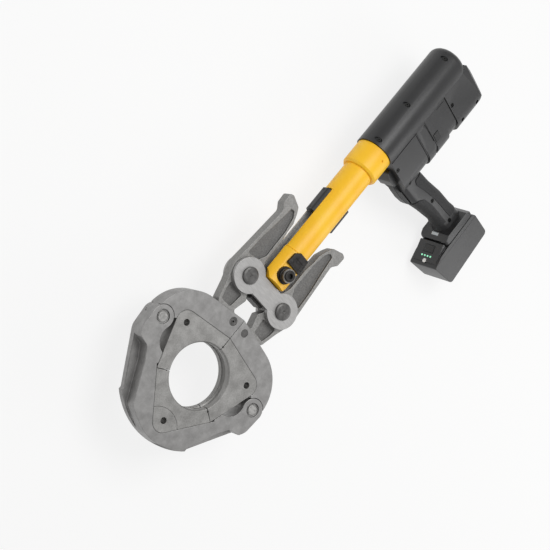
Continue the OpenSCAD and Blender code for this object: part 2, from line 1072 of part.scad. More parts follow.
module handle_slice(s, grow) {
    depth = s[0];
    r = s[3] + grow;
    length = s[2] - s[1] + 2 * grow;
    translate([s[1] - grow, -depth, 0])
        rotate([90, 0, 0])
            linear_extrude(0.5)
                square_round(length, r, r * 0.85);
}

module handle_loft(grow) {
    for (i = [0:len(handle_sections) - 2])
        hull() {
            handle_slice(handle_sections[i], grow);
            handle_slice(handle_sections[i + 1], grow);
        }
}

foot_x0 = 522;
foot_x1 = 606;
slope_x1 = foot_x0 + 14;
slope_d0 = foot_top + 7.5;
slope_a = atan2(slope_d0 - foot_top, slope_x1 - foot_x0 + 1);

module foot() {
    intersection() {
        translate([foot_x0, -foot_top, 0])
            rotate([90, 0, 0])
                linear_extrude(foot_bottom - foot_top)
                    square_round(foot_x1 - foot_x0, battery_w, 8);
        slab(-battery_w - 1, battery_w + 1)
            polygon(outline(side([
                [slope_x1, foot_top, 2],
                [foot_x1 - 14, foot_top - 2, 8],
                [foot_x1 + 1, foot_top + 10, 8],
                [foot_x1 + 1, foot_bottom + 1, 0],
                [foot_x0 - 1, foot_bottom + 1, 0],
                [foot_x0 - 1, slope_d0, 1]
            ])));
    }
}

// Rectangle from x = 0, centred across, with round corners
module square_round(length, half, r) {
    polygon(outline([[0, half, r], [length, half, r], [length, -half, r], [0, -half, r]], 4));
}

module housing_outer() {
    body_solid();
    handle_loft(0);
    foot();
    // Boss in front of the trigger's upper end
    slab(-16, 16)
        polygon(outline(side([
            [body_x + 2, 40, 0],
            [504, 42, 5],
            [498, 58, 6],
            [500, 75, 5],
            [body_x + 2, 75, 0]
        ])));
}

rail_top = foot_top + 6.5;

module light_block() {
    translate([slope_x1 - 2.5, -foot_top - 1.4, 0])
        rotate([0, 0, slope_a])
            translate([-2.8, -1.2, -8])
                cube([5.6, 1.5, 16]);
}

module housing_room() {
    light_block();
    difference() {
        along_x(body_x + 8, barrel_end_x - 14)
            body_section(-wall);
        for (p = side_screws)
            translate([p[0], -p[1], p[1] > lower_d ? 12 : 20])
                cylinder(r = 5.2, h = 30, $fn = 32);
    }
    bar_x(tube_r, body_x - 1, body_x + 9);
    // Wire duct down the handle
    slab(-9, 9)
        polygon(outline(side([
            [530, 100, 0],
            [558, 100, 0],
            [574, 175, 12],
            [580, foot_top - 30, 8],
            [580, rail_top + 1, 0],
            [556, rail_top + 1, 0],
            [550, 190, 10]
        ])));
    // Slot for the battery's rail, open to the front
    along_x(foot_x0 - 1, foot_x1 - 6)
        polygon([
            [-foot_bottom - 1, rail_w - 4 + slide_fit],
            [-foot_bottom + 5, rail_w - 4 + slide_fit],
            [-foot_bottom + 5, rail_w + slide_fit],
            [-rail_top, rail_w + slide_fit],
            [-rail_top, -rail_w - slide_fit],
            [-foot_bottom + 5, -rail_w - slide_fit],
            [-foot_bottom + 5, -rail_w + 4 - slide_fit],
            [-foot_bottom - 1, -rail_w + 4 - slide_fit]
        ]);
    // Pocket behind the trigger
    slab(-trigger_w - slide_fit, trigger_w + slide_fit)
        polygon(outline(side([
            [484, 75.5, 0],
            [body_x + 3.8 + trigger_travel, 75.5, 0],
            [body_x + 3.8 + trigger_travel, 104, 0],
            [body_x + 8.8 + trigger_travel, 141, 0],
            [505, 141, 0],
            [484, 100, 0]
        ])));
}

trigger_w = 8;
reset_x = 615;
reset_d = 56;
reset_l = 15;
reset_h = 18;

// Grooves that part the housing's panels, cut 1.2 mm into the sides
groove_x = [583, 674];
slit_x = 609;

module panel_grooves() {
    for (x = groove_x)
        difference() {
            translate([x, -150, -50])
                cube([2, 128.5, 100]);
            along_x(x - 1, x + 3)
                body_section(-1.2);
        }
    // Step behind the first pad and the joint along the barrel
    slab(lower_w - 1.2, lower_w + 8) {
        polygon(outline(side([
            [slit_x, 24, 0],
            [slit_x + 2.5, 24, 0],
            [slit_x + 4, 66, 0],
            [slit_x + 1.5, 66, 0]
        ])));
        polygon(outline(side([
            [body_x + 2, 21.5, 0],
            [586, 21.5, 0],
            [586, 23, 0],
            [body_x + 2, 23, 0]
        ])));
    }
}

side_screws = [
    [516, 43], [527, 90], [603, 36], [682, 46], [690, 91], [736, 92], [553, 168],
    [563, foot_top - 10]
];
barrel_screws = [520, 606, 722];
barrel_screw_a = -54;

// Where a screw's sink starts: on the handle, on the curved underside or on the flat side
function screw_face(p) =
    p[1] > 130 ? handle_w - 0.5 :
    p[1] > lower_d ? sqrt(pow(lower_w, 2) - pow(p[1] - lower_d, 2)) : lower_w;

module screw_sinks() {
    for (p = side_screws)
        translate([p[0], -p[1], screw_face(p) - 3])
            cylinder(d = screw_d + 1, h = 12, $fn = 32);
    for (x = barrel_screws) {
        rotate([barrel_screw_a, 0, 0])
            translate([x, 0, barrel_r - 2.4])
                cylinder(d = screw_d + 1, h = 6, $fn = 32);
        // The driver's way in, straight down through the curved wall
        difference() {
            translate([x, -barrel_r * sin(barrel_screw_a), 10])
                cylinder(d = screw_d + 1, h = 30, $fn = 32);
            bar_x(barrel_r - 2.2, x - 10, x + 10);
        }
    }
}

module reset_hole() {
    translate([reset_x, -reset_d - reset_h, lower_w - wall - 1])
        cube([reset_l, reset_h, wall + 3]);
}

module housing_half() {
    difference() {
        housing_outer();
        housing_room();
        translate([400, -400, -100])
            cube([400, 500, 100]);
        panel_grooves();
    }
}

module housing_left() {
    color("#3b3b3b")
        drive_frame()
            difference() {
                housing_half();
                screw_sinks();
                reset_hole();
            }
}

module housing_right() {
    color("#3b3b3b")
        drive_frame()
            mirror([0, 0, 1])
                housing_half();
}

module screw() {
    difference() {
        cylinder(d = screw_d, h = 2.4, $fn = 32);
        translate([0, 0, 1])
            cylinder(d = 3.4, h = 2, $fn = 6);
    }
}

module housing_screws() {
    color("#1a1a1a")
        drive_frame() {
            for (p = side_screws)
                translate([p[0], -p[1], screw_face(p) - 3])
                    screw();
            for (x = barrel_screws)
                rotate([barrel_screw_a, 0, 0])
                    translate([x, 0, barrel_r - 2.4])
                        screw();
        }
}

module grip_cover() {
    color("#1f1f1f")
        drive_frame()
            difference() {
                intersection() {
                    handle_loft(soft_t);
                    slab(-30, 30) {
                        polygon(outline(side([
                            [590, 103, 0],
                            [545, 103, 6],
                            [541, 112, 8],
                            [551, 140, 20],
                            [559, 169, 20],
                            [564, 196, 20],
                            [568, foot_top - 15, 0],
                            [620, foot_top - 15, 0]
                        ])));
                        polygon(outline(side([
                            [500, 146, 0],
                            [529, 143, 6],
                            [541, 151, 6],
                            [548, 173, 20],
                            [552, 196, 20],
                            [555, foot_top - 15, 0],
                            [510, foot_top - 15, 0]
                        ])));
                    }
                }
                handle_loft(0);
                body_solid();
                foot();
            }
}

// Inside the drive
module hydraulic_block() {
    color("#9c9c9c")
        drive_frame()
            difference() {
                union() {
                    bar_x(barrel_r - wall - 0.5, body_x + 8, gear_x);
                    translate([body_x + 20, 17.5 - lower_d, -16])
                        cube([48, lower_d - 33.5, 32]);
                }
                bar_x(5, body_x + 7, 560);
            }
}

module gearbox() {
    color("#7d7d7d")
        union() {
            bar_x(barrel_r - wall - 2, gear_x, motor_x - 14);
            bar_x(20, motor_x - 14, motor_x);
        }
}

module motor() {
    color("#54585c")
        difference() {
            union() {
                bar_x(motor_r, motor_x, motor_x + motor_l);
                bar_x(motor_r + 1.5, motor_x + 14, motor_x + motor_l - 16);
                bar_x(8, motor_x + motor_l, motor_x + motor_l + 6);
            }
            for (a = [0:60:300])
                rotate([a, 0, 0])
                    translate([motor_x + motor_l - 10, 0, motor_r - 2])
                        cylinder(r = 3, h = 4, $fn = 24);
        }
}

board_w = lower_w - wall - 1.2;
board_t = 1.6;

module control_board() {
    color("#1f5b3a")
        drive_frame() {
            translate([622, -lower_d - 7, -board_w])
                cube([96, board_t, 2 * board_w]);
            translate([640, -lower_d - 7 + board_t, -12])
                cube([22, 8, 24]);
            for (x = [676, 692])
                translate([x, -lower_d - 7 + board_t, 0])
                    rotate([-90, 0, 0])
                        cylinder(r = 6, h = 16, $fn = 32);
        }
}

module trigger_switch() {
    color("#2c2c2c")
        drive_frame()
            translate([534, -lower_d - lower_w + wall + 1, -6])
                cube([26, 37, 12]);
}

module trigger() {
    color("#242424")
        drive_frame()
            slab(-trigger_w, trigger_w)
                polygon(outline(side([
                    [body_x + 2, 76, 0],
                    [504, 76, 3],
                    [503, 90, 14],
                    [504.5, 112, 20],
                    [509, 130, 12],
                    [513.5, 139.5, 2],
                    [516.5, 136, 2],
                    [513, 105, 0]
                ])));
}

module reset_button() {
    color("#2a2a2a")
        drive_frame()
            translate([reset_x + 0.4, -reset_d - reset_h + 0.4, lower_w - wall - 2])
                cube([reset_l - 0.8, reset_h - 0.8, wall + 3.8]);
}

module work_light() {
    color("#e8eef2")
        drive_frame()
            light_block();
}

blade_w = [-13, -4, 5, 12];

module terminal_blades() {
    color("#b08d3c")
        drive_frame()
            for (w = blade_w)
                translate([foot_x1 - 26, -rail_top - 4, w])
                    cube([16, 4, 1]);
}

// Battery
// The shelf before the foot slopes up to it: X runs up the slope, Y stands on it
shelf_x0 = 478;
shelf_d0 = battery_d0 + 7.5;
shelf_x1 = foot_x0 - 1.6;
shelf_d1 = foot_top + 7;
button_s = 6;
led_s = 15.5;
led_r = 1.7;
led_places = [for (i = [0:led_n - 1]) (i - (led_n - 1) / 2) * 7];
latch_s = 23;
latch_l = 14;
latch_w = 12;

module shelf_frame() {
    translate([shelf_x0, -shelf_d0, 0])
        rotate([0, 0, atan2(shelf_d0 - shelf_d1, shelf_x1 - shelf_x0)])
            children();
}

module battery_side(inset) {
    polygon(outline(side([
        [525, battery_d0 + inset, 2],
        [609 - inset, battery_d0 - 1 + inset, 10],
        [613 - inset, battery_d0 + 58 - inset, 8],
        [488 + inset, battery_d0 + 67 - inset, 8],
        [474.5 + inset, battery_d0 + 10 + inset, 3],
        [500, battery_d0 + 2 + inset, 4]
    ])));
}

module battery_case() {
    color("#3e3e3e")
        drive_frame()
            difference() {
                slab(-battery_w, battery_w)
                    battery_side(0);
                slab(-battery_w + battery_wall, battery_w - battery_wall)
                    battery_side(battery_wall);
                translate([400, -battery_d0 - 8, -60])
                    cube([300, 60, 120]);
            }
}

module battery_top() {
    color("#3a3a3a")
        drive_frame()
            difference() {
                union() {
                    intersection() {
                        slab(-battery_w, battery_w)
                            battery_side(0);
                        translate([400, -battery_d0 - 8, -60])
                            cube([300, 60, 120]);
                    }
                    slab(-battery_w + 4, battery_w - 4)
                        polygon(outline(side([
                            [shelf_x0, shelf_d0, 1],
                            [shelf_x1, shelf_d1, 2],
                            [shelf_x1, battery_d0 + 7.9, 0]
                        ])));
                    along_x(foot_x0 + 2, foot_x1 - 8)
                        polygon([
                            [-battery_d0 - 1, rail_w - 4],
                            [-foot_bottom + 5 + slide_fit, rail_w - 4],
                            [-foot_bottom + 5 + slide_fit, rail_w],
                            [-rail_top - slide_fit, rail_w],
                            [-rail_top - slide_fit, -rail_w],
                            [-foot_bottom + 5 + slide_fit, -rail_w],
                            [-foot_bottom + 5 + slide_fit, -rail_w + 4],
                            [-battery_d0 - 1, -rail_w + 4]
                        ]);
                }
                for (w = blade_w)
                    translate([foot_x0, -rail_top - 5, w - 0.8])
                        cube([foot_x1 - foot_x0, 6, 2.6]);
                shelf_frame() {
                    translate([latch_s - slide_fit, -3.4, -latch_w - slide_fit])
                        cube([latch_l + 2 * slide_fit, 10, 2 * latch_w + 2 * slide_fit]);
                    translate([button_s, -1.5, 0])
                        rotate([-90, 0, 0])
                            cylinder(r = 4 + slide_fit, h = 10);
                    for (w = led_places)
                        translate([led_s, -1.2, w])
                            rotate([-90, 0, 0])
                                cylinder(r = led_r, h = 10, $fn = 24);
                }
            }
}

module battery_cells() {
    color("#3d6f9e")
        drive_frame()
            for (i = [0:4], j = [0:1])
                translate([504 + i * (cell_d + 1.2), -battery_d0 - 21 - j * (cell_d + 1.2), 0])
                    cylinder(d = cell_d, h = 2 * (battery_w - battery_wall) - 1, center = true, $fn = 40);
}

module battery_latch() {
    color("#1c1c1c")
        drive_frame()
            shelf_frame()
                translate([latch_s, -1.6, -latch_w])
                    cube([latch_l, 2.6, 2 * latch_w]);
}

module battery_leds() {
    color("#8fe0b8")
        drive_frame()
            shelf_frame()
                for (w = led_places)
                    translate([led_s, -1.2, w])
                        rotate([-90, 0, 0])
                            cylinder(r = led_r, h = 1.7, $fn = 24);
}

module battery_button() {
    color("#e4e4e4")
        drive_frame()
            shelf_frame()
                translate([button_s, -0.6, 0])
                    rotate([-90, 0, 0])
                        cylinder(r = 4, h = 1.2, $fn = 40);
}

ring_link();
link_saddle();
segment_upper();
segment_lower();
shoe_link();
shoe_upper();
shoe_lower();
hinge_pin_upper();
hinge_pin_lower();
snap_rings();
cross_pin_upper();
cross_pin_lower();
jaw_left();
jaw_right();
cover_plate_front();
cover_plate_rear();
tong_lug();
jaw_pin_left();
jaw_pin_right();
press_head();
swivel_collar();
piston();
return_spring();
cylinder_gland();
roller_carrier();
roller_left();
roller_right();
roller_pins();
slot_guard_left();
slot_guard_right();
guard_screws();
lock_bushing();
locking_pin();
lock_ring();
head_latch();
swivel_spigot();
housing_left();
housing_right();
housing_screws();
grip_cover();
hydraulic_block();
gearbox();
motor();
control_board();
trigger_switch();
trigger();
reset_button();
work_light();
terminal_blades();
battery_case();
battery_top();
battery_cells();
battery_latch();
battery_leds();
battery_button();
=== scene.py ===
# %% [markdown]
# # A battery press tool with a press ring
# The tool has three parts: a drive with a handle and a battery, a pair of tongs held in
# the drive's yellow head, and a hinged press ring that the tongs pull shut.
# The solids come from the CAD model and already have the right size and place, so the work
# here is the look: rounded edges, real finishes, soft light and a camera.

import json
import math
from types import SimpleNamespace

import bmesh
import bpy
from mathutils import Matrix, Vector

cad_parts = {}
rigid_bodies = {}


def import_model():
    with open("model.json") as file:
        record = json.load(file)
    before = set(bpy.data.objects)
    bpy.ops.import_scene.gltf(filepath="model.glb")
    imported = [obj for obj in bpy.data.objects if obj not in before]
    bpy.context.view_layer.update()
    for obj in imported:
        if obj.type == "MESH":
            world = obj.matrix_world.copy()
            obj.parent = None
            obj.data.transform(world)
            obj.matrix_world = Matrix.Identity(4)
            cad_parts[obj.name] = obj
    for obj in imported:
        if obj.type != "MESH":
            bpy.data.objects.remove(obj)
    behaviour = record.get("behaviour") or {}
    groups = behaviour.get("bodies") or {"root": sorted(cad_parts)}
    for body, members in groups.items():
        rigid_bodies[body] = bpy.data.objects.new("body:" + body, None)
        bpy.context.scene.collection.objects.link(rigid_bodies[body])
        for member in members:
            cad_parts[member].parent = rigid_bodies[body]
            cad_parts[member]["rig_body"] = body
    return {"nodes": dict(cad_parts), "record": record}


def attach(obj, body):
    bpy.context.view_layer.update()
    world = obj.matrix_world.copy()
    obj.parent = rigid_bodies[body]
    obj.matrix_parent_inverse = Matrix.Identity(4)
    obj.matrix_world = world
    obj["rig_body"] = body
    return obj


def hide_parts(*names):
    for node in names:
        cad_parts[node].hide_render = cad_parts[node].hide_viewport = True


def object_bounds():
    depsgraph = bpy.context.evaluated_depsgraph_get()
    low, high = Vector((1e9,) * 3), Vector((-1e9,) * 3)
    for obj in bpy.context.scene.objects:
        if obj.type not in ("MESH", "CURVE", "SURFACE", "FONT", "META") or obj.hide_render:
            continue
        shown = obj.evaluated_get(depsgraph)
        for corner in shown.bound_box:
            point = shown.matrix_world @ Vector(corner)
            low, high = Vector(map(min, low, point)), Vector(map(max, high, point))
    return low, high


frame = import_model()
cad_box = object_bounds()
cad_size = cad_box[1] - cad_box[0]
print("solids:", len(frame["nodes"]), "size in m:", [round(side, 3) for side in cad_size])

# %% [markdown]
# ## Colours
# Colours are given as sRGB hex values, but Blender mixes light in linear values.
# One function turns the first into the second, with the curve of the sRGB standard.

# %% Hex colours to linear light
def linear(colour):
    channels = [int(colour[i:i + 2], 16) / 255 for i in (1, 3, 5)]
    bright = [c / 12.92 if c <= 0.04045 else ((c + 0.055) / 1.055) ** 2.4 for c in channels]
    return (*bright, 1)


print("mid grey in linear light:", [round(c, 3) for c in linear("#808080")])

# %% [markdown]
# ## Nodes
# A finish is a small network of nodes. It could be wired by hand, line by line, but one
# function does it all: it adds a node, sets it up, and links what comes in and what its
# outputs feed.

# %% Add a node
def add(tree, kind, inputs=None, feeds=None, **settings):
    """`inputs` gives a value or a socket to each input, `feeds` a socket to each output."""
    node = tree.nodes.new(kind)
    for name, value in settings.items():
        setattr(node, name, value)
    for name, value in (inputs or {}).items():
        if isinstance(value, bpy.types.NodeSocket):
            tree.links.new(value, node.inputs[name])
        else:
            node.inputs[name].default_value = value
    for name, socket in (feeds or {}).items():
        tree.links.new(node.outputs[name], socket)
    return node


print("one function for every kind of node")

# %% [markdown]
# ## Starting a material
# Every finish starts from one colour, one roughness and one metal value, set straight on
# the shader. Patterns use object coordinates, which are in metres, so a pattern that
# repeats at a real distance in millimetres gets its scale from `every(mm)`.

# %% Real distances and a plain material
def metres(mm):
    return mm / 1000


def every(mm):
    return 1 / metres(mm)


def start(name, colour, roughness, metallic=0.0, **values):
    material = bpy.data.materials.new(name)
    material.use_nodes = True
    tree = material.node_tree
    sockets = tree.nodes["Principled BSDF"].inputs
    sockets["Base Color"].default_value = linear(colour)
    sockets["Roughness"].default_value = roughness
    sockets["Metallic"].default_value = metallic
    for socket, value in values.items():
        sockets[socket.replace("_", " ")].default_value = value
    place = add(tree, "ShaderNodeTexCoord").outputs["Object"]
    return SimpleNamespace(material=material, tree=tree, sockets=sockets, place=place)


print("a grain of 2 mm has the scale", every(2))

# %% [markdown]
# ## From a pattern to a colour
# A noise seldom leaves the band from 0.3 to 0.7. Each finish stretches that band over the
# whole way between its darkest and its lightest colour, or between two values of
# roughness, so that both ends really show. The mix node keeps its number, vector and
# colour sockets in one list, so the ones for colours are picked by their place.

# %% The band of a noise and the mix node's sockets
band = {"From Min": 0.3, "From Max": 0.7}
SHARE, DARK, LIGHT, COLOUR = 0, 6, 7, 2
finishes = {}
print("band of a noise:", list(band.values()))

# %% [markdown]
# ## Ring steel
# The ring's link and segments are milled from alloy steel and nickel plated. Plating gives
# a soft, slightly cloudy mirror. One plain grey would look like paper, so two noises work on
# it: clouds of 14 mm in the colour, and a fine grain of 1.6 mm in the roughness and the
# surface, drawn coarser than the real 0.3 mm so that it still shows in the picture.

# %% Nickel plated milled steel
plated = start("nickel_plated_milled_steel", "#8F8E8D", 0.44, 0.8)
clouds = add(plated.tree, "ShaderNodeTexNoise", {
    "Vector": plated.place, "Scale": every(14), "Detail": 5.0, "Roughness": 0.62})
grain = add(plated.tree, "ShaderNodeTexNoise", {
    "Vector": plated.place, "Scale": every(1.6), "Detail": 3.0})
clouds_share = add(plated.tree, "ShaderNodeMapRange", {
    "Value": clouds.outputs["Fac"], **band})
add(plated.tree, "ShaderNodeMix", {
    SHARE: clouds_share.outputs["Result"],
    DARK: linear("#848382"), LIGHT: linear("#9B9A99")},
    {COLOUR: plated.sockets["Base Color"]}, data_type="RGBA")
add(plated.tree, "ShaderNodeMapRange", {
    "Value": grain.outputs["Fac"], **band, "To Min": 0.38, "To Max": 0.52},
    {"Result": plated.sockets["Roughness"]})
add(plated.tree, "ShaderNodeBump", {
    "Height": grain.outputs["Fac"], "Distance": metres(0.05), "Strength": 0.5},
    {"Normal": plated.sockets["Normal"]})
finishes["ring_steel"] = plated.material
print(plated.material.name)

# %% [markdown]
# ## Shoe steel
# The press shoes are hardened and then blasted with steel shot. Blasting leaves small dents
# all over, so the surface scatters light and looks more speckled than the plating. The
# dents are 2.2 mm wide, coarser than real ones of 0.5 mm. Half of the colour comes from
# them and half from slow tints of 20 mm, because neither alone looks like blasted steel.

# %% Shot blasted hardened steel
blasted = start("shot_blasted_hardened_steel", "#8E8D8B", 0.52, 0.8)
dents = add(blasted.tree, "ShaderNodeTexNoise", {
    "Vector": blasted.place, "Scale": every(2.2), "Detail": 4.0, "Roughness": 0.7})
tints = add(blasted.tree, "ShaderNodeTexNoise", {
    "Vector": blasted.place, "Scale": every(20), "Detail": 3.0})
mixed = add(blasted.tree, "ShaderNodeMath", {
    0: dents.outputs["Fac"], 1: tints.outputs["Fac"]}, operation="ADD")
halved = add(blasted.tree, "ShaderNodeMath", {
    0: mixed.outputs["Value"], 1: 0.5}, operation="MULTIPLY")
halved_share = add(blasted.tree, "ShaderNodeMapRange", {
    "Value": halved.outputs["Value"], **band})
add(blasted.tree, "ShaderNodeMix", {
    SHARE: halved_share.outputs["Result"],
    DARK: linear("#747371"), LIGHT: linear("#A6A5A3")},
    {COLOUR: blasted.sockets["Base Color"]}, data_type="RGBA")
add(blasted.tree, "ShaderNodeMapRange", {
    "Value": dents.outputs["Fac"], **band, "To Min": 0.42, "To Max": 0.58},
    {"Result": blasted.sockets["Roughness"]})
add(blasted.tree, "ShaderNodeBump", {
    "Height": dents.outputs["Fac"], "Distance": metres(0.12), "Strength": 0.6},
    {"Normal": blasted.sockets["Normal"]})
finishes["shoe_steel"] = blasted.material
print(blasted.material.name)

# %% [markdown]
# ## Tong steel
# The two jaws are drop forged. Their edges and faces are blasted clean, and the pockets
# between the ribs get a darker grey of their own, which is painted shade in the hollows.
# Forging leaves scale, so both have a rough noise of 2 to 3 mm with many octaves of detail.

# %% Drop forged steel and its pockets darkened with painted shade
forged = start("drop_forged_blasted_steel", "#8A8987", 0.54, 0.75)
scale_skin = add(forged.tree, "ShaderNodeTexNoise", {
    "Vector": forged.place, "Scale": every(3.0), "Detail": 6.0, "Roughness": 0.65})
scale_skin_share = add(forged.tree, "ShaderNodeMapRange", {
    "Value": scale_skin.outputs["Fac"], **band})
add(forged.tree, "ShaderNodeMix", {
    SHARE: scale_skin_share.outputs["Result"],
    DARK: linear("#797876"), LIGHT: linear("#9B9A98")},
    {COLOUR: forged.sockets["Base Color"]}, data_type="RGBA")
add(forged.tree, "ShaderNodeMapRange", {
    "Value": scale_skin.outputs["Fac"], **band, "To Min": 0.45, "To Max": 0.6},
    {"Result": forged.sockets["Roughness"]})
add(forged.tree, "ShaderNodeBump", {
    "Height": scale_skin.outputs["Fac"], "Distance": metres(0.18), "Strength": 0.6},
    {"Normal": forged.sockets["Normal"]})
finishes["jaw_steel"] = forged.material

# The pockets' darker grey is painted shade in the hollows between the ribs.
pocket_painted_shade = start("drop_forged_steel_painted_pocket_shade", "#71706E", 0.66, 0.5)
pits = add(pocket_painted_shade.tree, "ShaderNodeTexNoise", {
    "Vector": pocket_painted_shade.place, "Scale": every(2.4), "Detail": 6.0, "Roughness": 0.75})
pits_share = add(pocket_painted_shade.tree, "ShaderNodeMapRange", {
    "Value": pits.outputs["Fac"], **band})
add(pocket_painted_shade.tree, "ShaderNodeMix", {
    SHARE: pits_share.outputs["Result"], DARK: linear("#5D5C5B"), LIGHT: linear("#858482")},
    {COLOUR: pocket_painted_shade.sockets["Base Color"]}, data_type="RGBA")
add(pocket_painted_shade.tree, "ShaderNodeBump", {
    "Height": pits.outputs["Fac"], "Distance": metres(0.3), "Strength": 0.8},
    {"Normal": pocket_painted_shade.sockets["Normal"]})
print(forged.material.name, pocket_painted_shade.material.name)

# %% [markdown]
# ## Cover plates
# The plates that join the tongs are ground flat on a belt, which leaves fine parallel
# scratches. Lines could be drawn one by one, but a noise of 18 mm squeezed 14 times along
# one axis gives scratches 1.3 mm apart that begin and end as real ones do.

# %% Belt ground steel
ground = start("belt_ground_steel", "#A6A5A4", 0.48, 0.8)
squeezed = add(ground.tree, "ShaderNodeMapping", {
    "Vector": ground.place, "Scale": (14.0, 1.0, 1.0)})
scratches = add(ground.tree, "ShaderNodeTexNoise", {
    "Vector": squeezed.outputs["Vector"], "Scale": every(18), "Detail": 6.0, "Roughness": 0.7})
scratches_share = add(ground.tree, "ShaderNodeMapRange", {
    "Value": scratches.outputs["Fac"], **band})
add(ground.tree, "ShaderNodeMix", {
    SHARE: scratches_share.outputs["Result"],
    DARK: linear("#969594"), LIGHT: linear("#B5B4B3")},
    {COLOUR: ground.sockets["Base Color"]}, data_type="RGBA")
add(ground.tree, "ShaderNodeMapRange", {
    "Value": scratches.outputs["Fac"], **band, "To Min": 0.42, "To Max": 0.56},
    {"Result": ground.sockets["Roughness"]})
add(ground.tree, "ShaderNodeBump", {
    "Height": scratches.outputs["Fac"], "Distance": metres(0.04), "Strength": 0.5},
    {"Normal": ground.sockets["Normal"]})
finishes["plate_steel"] = ground.material
print(ground.material.name)

# %% [markdown]
# ## Pins, rollers and springs
# The rollers, the piston and the hinge pins are turned on a lathe and then polished, so
# they stay a little smoother than the ring. The tongs' pins and the two cross pins carry
# the load, so they are tempered hard, and the heat leaves a grey film on them. Springs and
# snap rings are drawn wire and stamped strip. All three are one metal, so they differ only
# in how dark and how smooth they are.

# %% Turned steel, tempered steel and spring steel
turned = start("turned_steel", "#A09F9D", 0.36, 0.85)
smudges = add(turned.tree, "ShaderNodeTexNoise", {
    "Vector": turned.place, "Scale": every(4), "Detail": 3.0})
smudges_share = add(turned.tree, "ShaderNodeMapRange", {
    "Value": smudges.outputs["Fac"], **band})
add(turned.tree, "ShaderNodeMix", {
    SHARE: smudges_share.outputs["Result"],
    DARK: linear("#939290"), LIGHT: linear("#AFAEAC")},
    {COLOUR: turned.sockets["Base Color"]}, data_type="RGBA")
add(turned.tree, "ShaderNodeMapRange", {
    "Value": smudges.outputs["Fac"], **band, "To Min": 0.3, "To Max": 0.44},
    {"Result": turned.sockets["Roughness"]})
finishes["pin_steel"] = turned.material
finishes["bright_steel"] = turned.material

tempered = start("tempered_steel", "#5A5958", 0.42, 0.7)
film = add(tempered.tree, "ShaderNodeTexNoise", {
    "Vector": tempered.place, "Scale": every(6), "Detail": 3.0})
film_share = add(tempered.tree, "ShaderNodeMapRange", {
    "Value": film.outputs["Fac"], **band})
add(tempered.tree, "ShaderNodeMix", {
    SHARE: film_share.outputs["Result"], DARK: linear("#4E4D4C"), LIGHT: linear("#686766")},
    {COLOUR: tempered.sockets["Base Color"]}, data_type="RGBA")

drawn = start("drawn_spring_steel", "#838280", 0.38, 0.85)
lines = add(drawn.tree, "ShaderNodeTexNoise", {
    "Vector": drawn.place, "Scale": every(2.5), "Detail": 3.0})
lines_share = add(drawn.tree, "ShaderNodeMapRange", {"Value": lines.outputs["Fac"], **band})
add(drawn.tree, "ShaderNodeMix", {
    SHARE: lines_share.outputs["Result"],
    DARK: linear("#747371"), LIGHT: linear("#949391")},
    {COLOUR: drawn.sockets["Base Color"]}, data_type="RGBA")
finishes["spring_steel"] = drawn.material
print(turned.material.name, tempered.material.name, drawn.material.name)

# %% [markdown]
# ## Black oxide
# The head's latch and the locking pin are blackened in a hot salt bath. The black layer is
# thin: it stays smooth and a little shiny, with a faint brown cast. The housing's screws are
# phosphate coated instead, which grows a matt crystal layer that holds oil. Their near black
# is partly that dark coat and partly painted shade from their deep sinks.

# %% Black oxide, and the screws' phosphate with painted shade
blackened = start("black_oxide_steel", "#2B2A29", 0.38, 0.55)
bath = add(blackened.tree, "ShaderNodeTexNoise", {
    "Vector": blackened.place, "Scale": every(5), "Detail": 4.0})
bath_share = add(blackened.tree, "ShaderNodeMapRange", {
    "Value": bath.outputs["Fac"], **band})
add(blackened.tree, "ShaderNodeMix", {
    SHARE: bath_share.outputs["Result"], DARK: linear("#232221"), LIGHT: linear("#393736")},
    {COLOUR: blackened.sockets["Base Color"]}, data_type="RGBA")
add(blackened.tree, "ShaderNodeMapRange", {
    "Value": bath.outputs["Fac"], **band, "To Min": 0.3, "To Max": 0.48},
    {"Result": blackened.sockets["Roughness"]})
finishes["black_steel"] = blackened.material

# Near black: the phosphate's own dark grey plus painted shade of the deep screw sinks.
phosphate_and_sink_shade = start("phosphated_screw_steel_painted_shade", "#131312", 0.62, 0.2)
crystals = add(phosphate_and_sink_shade.tree, "ShaderNodeTexNoise", {
    "Vector": phosphate_and_sink_shade.place, "Scale": every(1.5), "Detail": 3.0})
crystals_share = add(phosphate_and_sink_shade.tree, "ShaderNodeMapRange", {
    "Value": crystals.outputs["Fac"], **band})
add(phosphate_and_sink_shade.tree, "ShaderNodeMix", {
    SHARE: crystals_share.outputs["Result"],
    DARK: linear("#0F0F0E"), LIGHT: linear("#181817")},
    {COLOUR: phosphate_and_sink_shade.sockets["Base Color"]}, data_type="RGBA")
print(blackened.material.name, phosphate_and_sink_shade.material.name)

# %% [markdown]
# ## Yellow powder coat
# The head and its collar are steel tubes with a baked powder coat. Powder melts into a skin
# with a faint orange peel, waves about 2.5 mm apart, under a smooth gloss, which a thin coat
# on the shader gives. The slot and the bore are reamed after the coating, so their walls are
# bare steel with a thin film of oil. Their grey is drawn lighter than bare steel's own, as
# painted light in the deep slot that the lamps barely reach.

